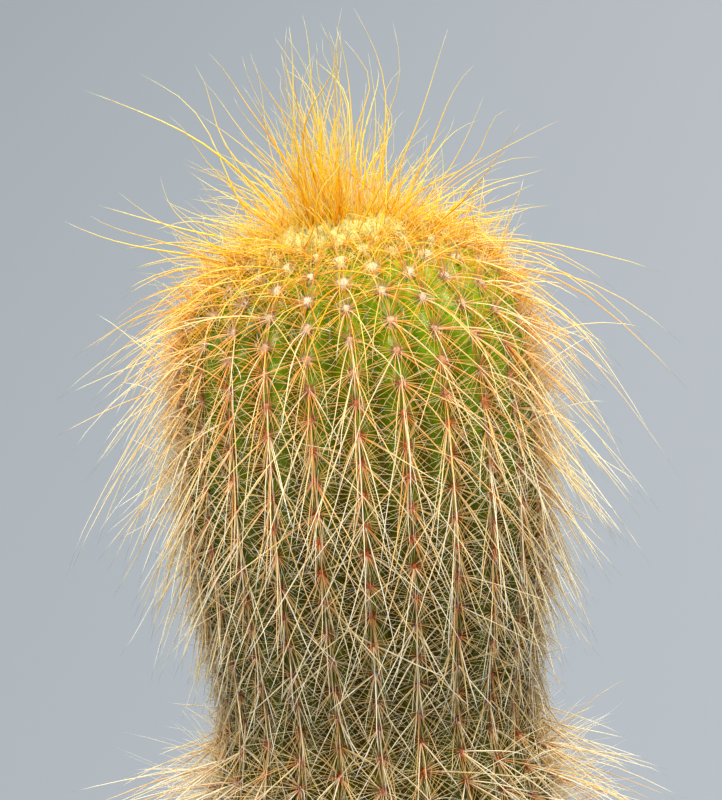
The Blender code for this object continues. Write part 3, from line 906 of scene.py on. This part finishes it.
# %% Keeping spines off the skin and within reach
SKIN_CLEARANCE = 0.8 * MM
REACH = 81.5 * MM
TOP = cad_high.z - 0.5 * MM
RIM_CLEARANCE = 1.2 * MM
INSIDE_RIM = 4 * MM
DOME_BASE = STEM_HEIGHT - DOME_DEPTH
DOME_LEAN = float(np.interp(DOME_BASE, ALONG, AXIS_LEAN) + AXIS_LEAN[-1]) / 2
hub = np.array([np.interp(DOME_BASE, ALONG, AXIS_X), 0, np.interp(DOME_BASE, ALONG, AXIS_Z)])
dome_up = np.array([-math.sin(DOME_LEAN), 0, math.cos(DOME_LEAN)])


def off_the_skin(path):
    """Points that fell inside the stem are pushed out to just above it."""
    depth, distance = inverse_place(path)
    body = np.interp(depth, ARC_DEPTH, ARC_RADIUS) + SKIN_CLEARANCE
    push = np.where((depth > DOME_DEPTH) & (distance < body), body / distance, 1.0)
    centre = np.stack([np.interp(path[..., 2], AXIS_Z, AXIS_X), np.zeros_like(depth)], -1)
    path[..., :2] = centre + (path[..., :2] - centre) * push[..., None]
    from_hub = path - hub
    up = from_hub @ dome_up
    out = np.linalg.norm(from_hub - up[..., None] * dome_up, axis=-1)
    inside = (np.maximum(up, 0) / (DOME_DEPTH + SKIN_CLEARANCE)) ** DOME_POWER
    inside += (out / (DOME_RADIUS + SKIN_CLEARANCE)) ** DOME_POWER
    sunk = (up > 0) & (inside < 1)
    grow = np.where(sunk, np.maximum(inside, 0.05) ** (-1 / DOME_POWER), 1.0)
    return hub + from_hub * grow[..., None]


def within_reach(path):
    """True for each spine that stays inside the reach and above the soil and the rim."""
    far = np.hypot(path[..., 0], path[..., 1])
    floor = np.where(far > mouth[0] - INSIDE_RIM, pot_top, soil_top) + RIM_CLEARANCE
    return ((far < REACH) & (path[..., 2] < TOP) & (path[..., 2] > floor))[:, 1:].all(1)


# %% Growing spines
SHORTENINGS, SHORTER = 8, 0.88  # how often a spine may be shortened, and to what share
SAG_VARIES, THICKNESS_VARIES, WAVES = (0.4, 1.6), (0.8, 1.2), (0.5, 1.5)
ODD_WAY = unit(np.array([0.31, 0.22, 0.93]))  # no spine runs along it


class Spines:
    """Spines of one kind, which become one piece."""

    def __init__(self, name, sides, levels, seed):
        self.name, self.sides, self.levels = name, sides, levels
        self.draw = np.random.default_rng(seed)
        self.grown = []

    def grow(
        self, areoles, clock, lift, length, radius, droop=0.05,
        curl=0.14, wave=0.0, spacing=0.5 * MM, older=0.0, tones=(0.0, 0.52),
    ):
        """Adds spines; clock, lift and length have a row an areole and a column a spine."""
        count, draw = clock.size, self.draw
        way = areoles.aim(clock, lift)
        lean = way - areoles.normal[:, None] * np.sin(lift)[..., None]
        root = (areoles.point[:, None] + lean * spacing).reshape(-1, 3)
        way, length = way.reshape(-1, 3), length.ravel()
        side = unit(draw.normal(size=(count, 3))) * draw.uniform(0, curl, (count, 1))
        swing = (draw.uniform(*WAVES, count), draw.uniform(0, math.tau, count), wave * length)
        sag = np.broadcast_to(droop, clock.shape).ravel() * draw.uniform(*SAG_VARIES, count)
        path = spine_paths(root, way, length, sag, side, swing, self.levels)
        for _ in range(SHORTENINGS):
            outside = ~within_reach(path)
            foot = root[outside, None]
            path[outside] = foot + (path[outside] - foot) * SHORTER
        kept = within_reach(path)
        age = np.repeat(np.clip(areoles.age + older, 0, 1), clock.shape[1])
        thick = np.broadcast_to(radius, clock.shape).ravel()
        thick = thick * draw.uniform(*THICKNESS_VARIES, count)
        tone = draw.uniform(*tones, count)
        self.grown.append((off_the_skin(path[kept]), thick[kept], age[kept], tone[kept]))

    def piece(self, material, node):
        """One piece of all the spines, with how far along and how old each point is."""
        path, radius, age, tone = (np.concatenate(group) for group in zip(*self.grown))
        shape, flat, level = spine_shape(self.sides, self.levels)
        tangent = unit(np.gradient(path, axis=1))
        first = unit(np.cross(path[:, -1] - path[:, 0], ODD_WAY))
        first = first[:, None] - tangent * (tangent * first[:, None]).sum(-1, keepdims=True)
        first = unit(first)
        second = np.cross(tangent, first)
        offset = first[:, level] * flat[:, 0, None] + second[:, level] * flat[:, 1, None]
        points = path[:, level] + offset * radius[:, None, None]
        values = {"along": level / self.levels, "age": age[:, None], "tone": tone[:, None]}
        mesh = crowd(self.name, shape, points, values)
        piece(self.name, mesh, material, node)


# %% [markdown]
# ### The colour of spines
#
# On the crown a spine is orange gold, with a greyer tip. On the first rows it has a pale salmon
# root. With age it fades: the root turns reddish brown and the rest bleaches to cream. So five
# ramps run from root to tip, and the spine's age slides between them. Each spine also has a tone
# of its own, from dusky to bleached. Spines let some light through, which the subsurface part
# of the shader stands for.

# %% Spine material
spine_finish, tree, shader = new_material("spine_gold", (0.85, 0.55, 0.15), 0.45, 0.1)
let_light_through(shader, 0.8, (1.0, 0.80, 0.45), 0.5 * MM)
SPINE_COLOURS = {  # age: colours from root to tip
    0.0: (
        (0.0, (1.0, 0.40, 0.003)), (0.2, (1.0, 0.45, 0.002)),
        (0.45, (1.0, 0.58, 0.015)), (0.75, (0.66, 0.56, 0.16)),
        (1.0, (0.42, 0.39, 0.18)),
    ),
    0.12: (
        (0.0, (1.0, 0.82, 0.62)), (0.14, (1.0, 0.52, 0.24)),
        (0.3, (1.0, 0.36, 0.008)), (0.65, (1.0, 0.46, 0.03)),
        (1.0, (1.0, 0.68, 0.28)),
    ),
    0.35: (
        (0.0, (1.0, 0.62, 0.42)), (0.08, (1.0, 0.46, 0.18)),
        (0.25, (1.0, 0.43, 0.09)), (0.7, (1.0, 0.54, 0.23)),
        (1.0, (1.0, 0.76, 0.54)),
    ),
    0.6: (
        (0.0, (0.75, 0.15, 0.04)), (0.05, (0.88, 0.28, 0.09)),
        (0.14, (0.92, 0.50, 0.16)), (0.55, (1.0, 0.66, 0.31)),
        (1.0, (1.0, 0.80, 0.58)),
    ),
    1.0: (
        (0.0, (0.36, 0.07, 0.015)), (0.06, (0.44, 0.15, 0.04)),
        (0.17, (0.40, 0.26, 0.09)), (0.55, (0.55, 0.41, 0.19)),
        (1.0, (0.86, 0.73, 0.50)),
    ),
}
along, age = attribute(tree, "along"), attribute(tree, "age")
ages = list(SPINE_COLOURS)
colour = ramp(tree, along, *SPINE_COLOURS[ages[0]])
for younger, older in zip(ages, ages[1:]):
    reached = spread_out(tree, age, younger, older)
    colour = blend(tree, reached, colour, ramp(tree, along, *SPINE_COLOURS[older]))
tone = attribute(tree, "tone")
shade = ramp(tree, tone, (0.0, (0.60, 0.46, 0.32)), (0.15, (0.96, 0.80, 0.66)), (0.45, (1, 1, 1)))
colour = blend(tree, 1.0, colour, shade, "MULTIPLY")
bleached = spread_out(tree, tone, 0.45, 1.0, 0.0, 0.85)
pale = ramp(
    tree, age,
    (0.06, (1.0, 0.56, 0.06)), (0.25, (1.0, 0.80, 0.50)),
    (0.5, (1.0, 0.81, 0.55)), (0.95, (0.92, 0.79, 0.58)),
)
colour = blend(tree, bleached, colour, pale)
tree.links.new(colour, shader.inputs["Base Color"])
print("spine colours at ages:", ages)

# %% [markdown]
# ## The spines of the stem
#
# Each areole bears three kinds. Some two dozen radials, fine and short, spread flat like a star
# and interlace with those of the next rib. A few middling ones stand up between them, and more
# on the first rows and below the waist. Five centrals are the longest and hang down over the
# areoles below, crossing each other.


# %% Stars of spines
def tilts(draw, low, high, shape):
    """Angles drawn between two limits, which are in degrees."""
    return np.radians(draw.uniform(low, high, shape))


def star(areoles, count, draw, lifts, lengths, jitter=0.2):
    """Clock angles spread round each areole, with lifts and lengths (mm) between limits."""
    shape, step = (len(areoles), count), math.tau / count
    clock = draw.uniform(0, step, (len(areoles), 1)) + np.arange(count) * step
    clock = clock + draw.normal(0, jitter * step, shape)
    return clock, tilts(draw, *lifts, shape), draw.uniform(*lengths, shape) * MM


# %% Radial spines
RADIALS = 26
RADIAL_LENGTHS = (7.5, 11.5)  # mm
LOWER_HALF = 78 * MM
FULL_RADIALS = (-30 * MM, 45 * MM)
upper = on_ribs.arc < LOWER_HALF
for half, which, lifts in (("upper", upper, (5, 46)), ("lower", ~upper, (5, 30))):
    radials = Spines("radial_spines_" + half, 3, 3, seed=31)
    areoles = on_ribs.chosen(which)
    clock, lift, length = star(areoles, RADIALS, radials.draw, lifts, RADIAL_LENGTHS)
    length *= areoles.past(FULL_RADIALS)
    thick = (0.15 - 0.07 * areoles.age[:, None]) * MM
    radials.grow(areoles, clock, lift, length, thick, spacing=0.8 * MM, older=0.03)
    radials.piece(spine_finish, "stem")

# %% Middling spines
MIDDLING = 6
MIDDLING_LENGTHS = (8, 17)  # mm
FULL_MIDDLING, SHORTER_MIDDLING = (-20 * MM, 50 * MM), (60 * MM, 100 * MM)
MIDDLING_KINDS = (  # arcs from and to, how much longer, lifts in degrees, tones
    (0, ARC[-1], 1, (25, 62), (0, 0.6)),
    (0, FIRST_ROWS, 1.5, (25, 62), (0, 0.5)),
    (WAIST_ARCS[1], ARC[-1], 2.6, (40, 78), (0.7, 1)),
)
middling = Spines("middling_spines", 3, 4, seed=33)
for nearest, furthest, longer, lifts, tones in MIDDLING_KINDS:
    areoles = on_ribs.chosen((on_ribs.arc > nearest) & (on_ribs.arc < furthest))
    clock, lift, length = star(areoles, MIDDLING, middling.draw, lifts, MIDDLING_LENGTHS, 0.3)
    length *= longer * areoles.past(FULL_MIDDLING)
    length *= 1 - 0.35 * areoles.past(SHORTER_MIDDLING)
    middling.grow(areoles, clock, lift, length, 0.11 * MM, droop=0.12, older=0.05, tones=tones)
middling.piece(spine_finish, "stem")

# %% [markdown]
# ### Central spines
#
# Three of the centrals hang down to the sides of the rib, one along it, and one stands out above.
# On the shoulders some are very long and stand off, so the outline is shaggy. Lower down they
# hang closer to the rib, above the waist they are short, and below it they stand out again.

# %% Central spines
CENTRAL_CLOCKS = np.radians([-70, -36, -8, 42, 166])
CENTRAL_LENGTHS = (13, 23, 36)  # shortest, usual and longest, mm
SHOULDER_ARCS, TUCKED_ARCS = (50 * MM, 100 * MM), (100 * MM, 130 * MM)
FULL_CENTRALS, HANGING_ARCS = (-12 * MM, 62 * MM), (42 * MM, 85 * MM)
BROWNING_ARCS = (28 * MM, 60 * MM)
centrals = Spines("central_spines", 4, 6, seed=34)
draw = centrals.draw
shape = (len(on_ribs), len(CENTRAL_CLOCKS))
clock = CENTRAL_CLOCKS + draw.normal(0, math.radians(18), shape)
clock *= draw.choice([-1, 1], (len(on_ribs), 1))
shoulder = 1 - on_ribs.past(SHOULDER_ARCS)
flush = on_ribs.past(WAIST_ARCS)
tucked = on_ribs.past(TUCKED_ARCS) * (1 - flush)
lift = tilts(draw, 10, 38, shape) + np.radians(20 * shoulder + 32 * flush - 8 * tucked)
length = draw.triangular(*CENTRAL_LENGTHS, shape) * (1 - 0.38 * tucked) * MM
length *= on_ribs.past(FULL_CENTRALS)
some = draw.uniform(0, 1, shape) > 0.82
length *= 1 + 0.8 * shoulder * some + 0.25 * flush
hanging = on_ribs.past(HANGING_ARCS) * (1 - flush)
clock[:, :-1] *= 1 - 0.34 * hanging
some = draw.uniform(0, 1, shape) > 0.75
length *= 1 + (on_ribs.arc < FIRST_ROWS)[:, None] * some
length[:, -1:] *= 0.7 - 0.3 * flush
droop = 0.12 + 0.3 * shoulder
older = 0.05 + 0.2 * smoothstep(on_ribs.arc, *BROWNING_ARCS)
looks = {"curl": 0.16, "wave": 0.015, "older": older, "tones": (0.1, 1.0)}
centrals.grow(on_ribs, clock, lift, length, 0.18 * MM, droop, **looks)
centrals.piece(spine_finish, "stem")

# %% [markdown]
# ## The crown
#
# The growing point is buried in wool. The youngest spines stand up from it in a tuft: short and
# dense at its foot, with single long wavy ones that reach far above. At the back and the sides
# the first rows join it, and the front rim bears few spines, so the wool shows there. The wool
# itself is a soft cap, with a cushion at each young areole and fine hairs on top.

# %% Wool cap
CAP_COLUMNS, CAP_ROWS = 96, 40
CAP_UNDERSIDE = ((1, 0.1), (0.95, 0), (0.5, 0), (0, 0))
section_share, section_height = np.array([*CAP_DOME, *CAP_UNDERSIDE]).T
SECTION_WIDTH = CAP_ARC / CAP_THICKNESS
legs = np.hypot(np.diff(section_share) * SECTION_WIDTH, np.diff(section_height))
section_run = np.concatenate([[0], np.cumsum(legs)])


def cap_place(row, column):
    """The cap's section, from the middle over the rim and back underneath."""
    run = row * section_run[-1]
    arc = CAP_ARC * np.interp(run, section_run, section_share)
    thickness = np.interp(run, section_run, section_height)
    angle = column * math.tau
    lumps = 0.12 * np.sin(5 * angle + arc / MM) * np.sin(arc * 1.1 / MM) * thickness
    return surface(arc, angle, 0.3 * MM + CAP_THICKNESS * (thickness * 0.9 + lumps))


cap_mesh = rolled("crown_wool", CAP_COLUMNS, CAP_ROWS, cap_place)
wool, tree, shader = new_material("crown_wool", (0.95, 0.8, 0.4), 0.95, 0.2)
let_light_through(shader, 0.5, (1.0, 0.8, 0.5), 1 * MM)
clouds, grain = mottle(tree, 600.0, 2.0)
deep, middle, pale = (1.0, 0.80, 0.03), (1.0, 0.92, 0.16), (1.0, 0.98, 0.50)
colour = ramp(tree, clouds, (0.1, deep), (0.5, middle), (0.9, pale))
dress(tree, shader, colour, grain, 0.4 * MM)
piece("crown_wool", cap_mesh, wool, "crown")

# %% Wool hairs on the crown and on the first rows
HAIR_LIFTS, HAIR_LENGTHS = (5, 70), (1.5, 3.5)  # degrees, mm
woolly_rows = on_ribs.chosen(on_ribs.arc < 0.9 * FIRST_ROWS)
hairs = Spines("wool_hairs", 3, 4, seed=43)
for areoles, count in ((on_crown, 16), (woolly_rows, 26)):
    clock, lift, length = star(areoles, count, hairs.draw, HAIR_LIFTS, HAIR_LENGTHS, 0.4)
    hairs.grow(areoles, clock, lift, length, 0.06 * MM, curl=0.7, wave=0.1, spacing=1.4 * MM)
hairs.piece(felt, "crown")

# %% Parts of the crown
BUSH_REACH = 11 * MM
BUSH_FROM, BUSH_TO = -8 * MM, 2 * MM  # to the right of the growing point
FRONT_RIM = -6 * MM
TUFTED_ROWS = 30 * MM
off_centre = on_crown.point[:, 0] - growing_point.x
on_left = (off_centre > BUSH_FROM) & (off_centre < BUSH_TO)
inner = on_crown.arc < BUSH_REACH
behind = on_crown.point[:, 1] > FRONT_RIM
bush, thin = on_crown.chosen(inner & on_left), on_crown.chosen(inner & ~on_left)
edge, front = on_crown.chosen(~inner & behind), on_crown.chosen(~inner & ~behind)
not_facing = on_ribs.normal[:, 1] > -0.3
first = on_ribs.chosen((on_ribs.arc < TUFTED_ROWS) & not_facing)
print("areoles of each part:", [len(part) for part in (bush, thin, edge, front, first)])

# %% Tuft
TUFT_KINDS = (  # areoles, spines on each, shortest and usual extra length in mm, spread
    (bush, 10, 13, 12, 20),
    (thin, 5, 9, 13, 44),
    (edge, 6, 10, 10, 54),
    (first, 6, 9, 10, 48),
    (front, 2, 9, 6, 24),
)
TUFT_LENGTHS = (8, 62)  # mm
looks = {"curl": 0.34, "wave": 0.1, "tones": (0.05, 0.65)}
tuft = Spines("crown_tuft", 4, 10, seed=41)
for areoles, count, shortest, extra, spread in TUFT_KINDS:
    shape = (len(areoles), count)
    share = np.minimum(areoles.arc / CROWN_REACH, 1)[:, None]
    clock = tuft.draw.normal(0, 1.0, shape)
    lift = np.radians(89 - spread * share**1.4 + tuft.draw.normal(0, 9, shape))
    length = np.clip(shortest + tuft.draw.exponential(extra, shape), *TUFT_LENGTHS) * MM
    tuft.grow(areoles, clock, lift, length, 0.09 * MM + 0.0025 * length, **looks)
tuft.piece(spine_finish, "crown")

# %% Bristles between the tuft's spines
BRISTLE_KINDS = (  # areoles, bristles on each, lifts in degrees, lengths in mm
    (bush, 14, (55, 88), (5, 14)),
    (thin, 14, (50, 88), (5, 12)),
    (edge, 16, (25, 80), (5, 11)),
    (front, 5, (20, 70), (5, 8)),
)
looks = {"curl": 0.3, "spacing": 0.7 * MM, "tones": (0.2, 0.6)}
bristles = Spines("crown_bristles", 3, 4, seed=42)
for areoles, count, lifts, lengths in BRISTLE_KINDS:
    clock, lift, length = star(areoles, count, bristles.draw, lifts, lengths, 0.3)
    bristles.grow(areoles, clock, lift, length, 0.08 * MM, **looks)
bristles.piece(spine_finish, "crown")
